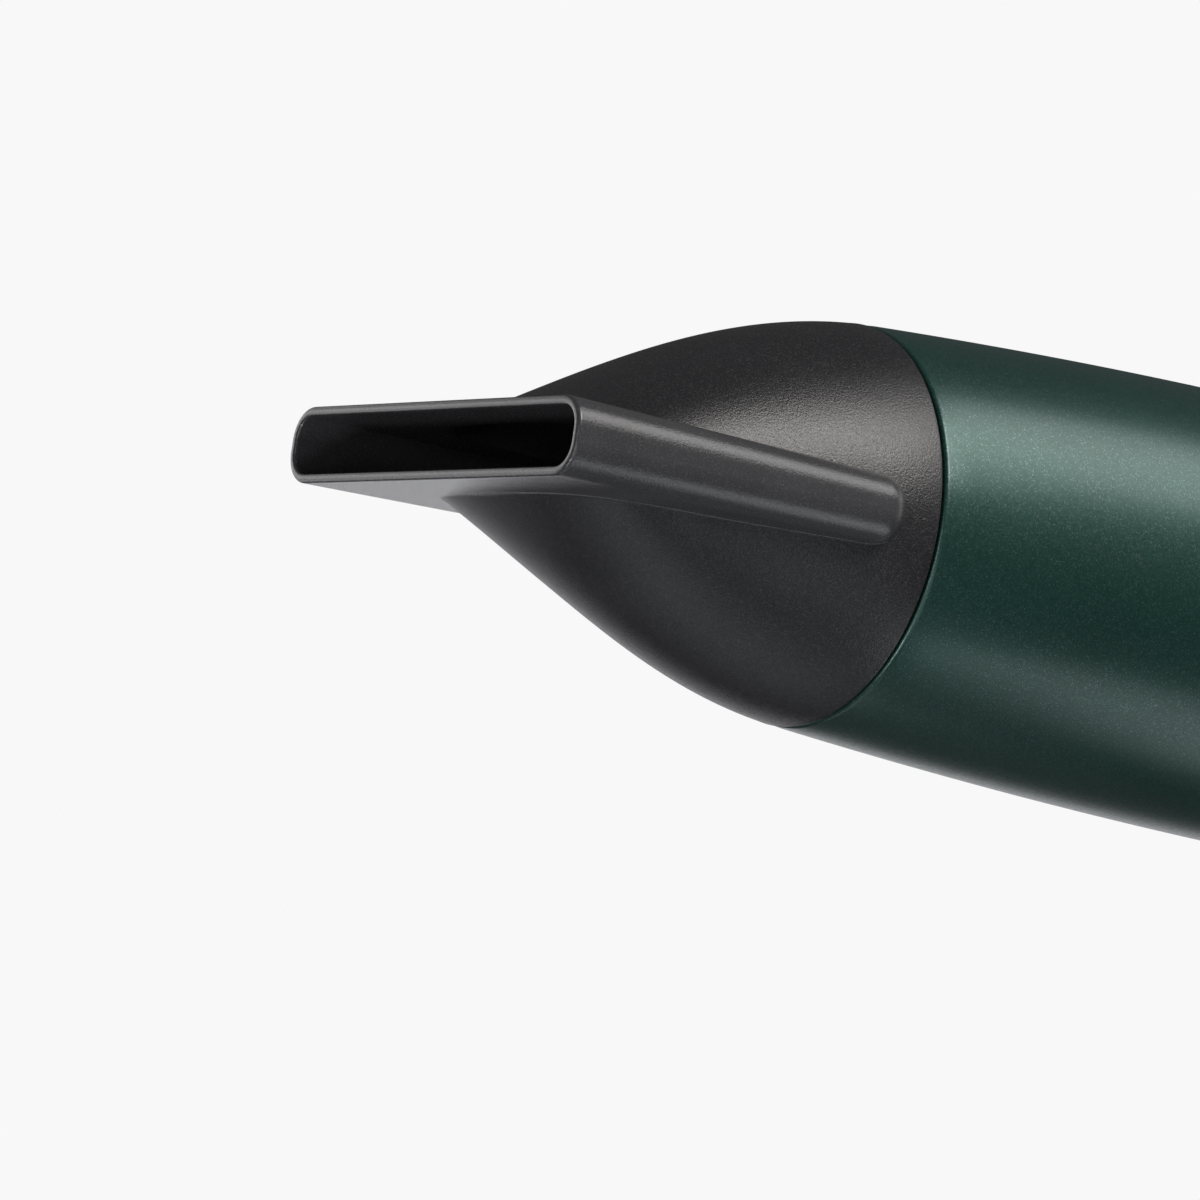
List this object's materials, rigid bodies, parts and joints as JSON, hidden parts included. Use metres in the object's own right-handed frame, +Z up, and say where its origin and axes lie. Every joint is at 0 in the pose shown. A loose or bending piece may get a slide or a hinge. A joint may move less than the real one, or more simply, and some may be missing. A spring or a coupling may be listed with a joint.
{
  "type": "hair dryer",
  "caption": "Hand-held hair dryer with a plain round barrel, a straight handle with slide switches, and a turning, pull-off styling nozzle that ends in a wide flat slot.",
  "frame": {"origin": "centre of the mouth of the mains-lead inlet in the bottom of the handle", "axes": "+X along the barrel, the way the air blows; +Z up, from the handle to the barrel; +Y to the left of a person pointing the nozzle away from themselves"},
  "size_m": [0.2588, 0.0818, 0.2158],
  "materials": {
    "nozzle_black": "satin, finely grained",
    "inner_black": "satin",
    "trim_black": "satin",
    "panel_black": "gloss",
    "green_paint": "satin metallic-flake paint",
    "bright_steel": "satin",
    "motor_steel": "zinc plated",
    "screw_steel": "plated",
    "mesh_steel": "woven",
    "magnet": "sintered",
    "mica": "pearly sheet",
    "heating_wire": "oxidised",
    "fuse_white": "glazed",
    "rubber_grey": "matte",
    "bronze": "sintered",
    "carbon": "matte",
    "copper": "enamelled",
    "fan_grey": "satin",
    "knob_grey": "satin",
    "board_green": "varnished",
    "switch_black": "satin",
    "lead_red": "insulated"
  },
  "bodies": {
    "dryer": {"barrel_shell": "green_paint", "outlet_ring": "inner_black", "outlet_grille": "inner_black", "heat_shield": "mica", "mica_cross": "mica", "mica_discs": "mica", "heating_coils": "heating_wire", "thermostat": "bright_steel", "thermal_fuse": "fuse_white", "ion_needle": "bright_steel", "fan_duct": "inner_black", "motor_damper": "rubber_grey", "motor_can": "motor_steel", "motor_end_cap": "inner_black", "motor_magnets": "magnet", "motor_bushes": "bronze", "carbon_brushes": "carbon", "rear_ring": "trim_black", "handle_front": "green_paint", "handle_back": "green_paint", "handle_screws": "screw_steel", "neck_screws": "screw_steel", "switch_panel": "panel_black", "switch_board": "board_green", "speed_switch": "switch_black", "heat_switch": "switch_black", "cool_spring": "bright_steel", "cool_switch": "switch_black", "ion_module": "switch_black", "lead_wires": "lead_red", "cord_clamp": "inner_black", "clamp_screws": "screw_steel", "end_cap": "trim_black", "cord_gland": "rubber_grey"},
    "nozzle": {"nozzle_shell": "nozzle_black", "nozzle_spigot": "nozzle_black", "nozzle_steel_ring": "bright_steel"},
    "swivel": {"swivel_ring": "inner_black", "ring_magnets": "magnet"},
    "rotor": {"motor_shaft": "bright_steel", "rotor_core": "motor_steel", "rotor_windings": "copper", "commutator": "copper", "fan_impeller": "fan_grey"},
    "filter": {"filter_cover": "trim_black", "filter_mesh": "mesh_steel", "filter_clamp_ring": "inner_black"},
    "speed_knob": {"speed_slider": "knob_grey"},
    "heat_knob": {"heat_slider": "knob_grey"},
    "cool_knob": {"cool_button": "knob_grey"}
  },
  "joints": [
    {"name": "ring_swivel", "type": "hinge", "parent": "dryer", "child": "swivel", "pos_m": [0.112, 0, 0.168], "axis": [1, 0, 0], "continuous": true},
    {"name": "nozzle_pull", "type": "slide", "parent": "swivel", "child": "nozzle", "axis": [1, 0, 0], "range_m": [0, 0.03]},
    {"name": "fan_spin", "type": "hinge", "parent": "dryer", "child": "rotor", "pos_m": [-0.01, 0, 0.168], "axis": [1, 0, 0], "continuous": true},
    {"name": "filter_pull", "type": "slide", "parent": "dryer", "child": "filter", "axis": [-1, 0, 0], "range_m": [0, 0.035]},
    {"name": "speed_slide", "type": "slide", "parent": "dryer", "child": "speed_knob", "axis": [0, 0, 1], "range_m": [0, 0.008]},
    {"name": "heat_slide", "type": "slide", "parent": "dryer", "child": "heat_knob", "axis": [0, 0, 1], "range_m": [0, 0.008]},
    {"name": "cool_press", "type": "slide", "parent": "dryer", "child": "cool_knob", "axis": [-1, 0, 0], "range_m": [0, 0.0025], "stiffness_N_per_m": 600, "springref_m": -0.002, "deforming": ["cool_spring"]}
  ]
}
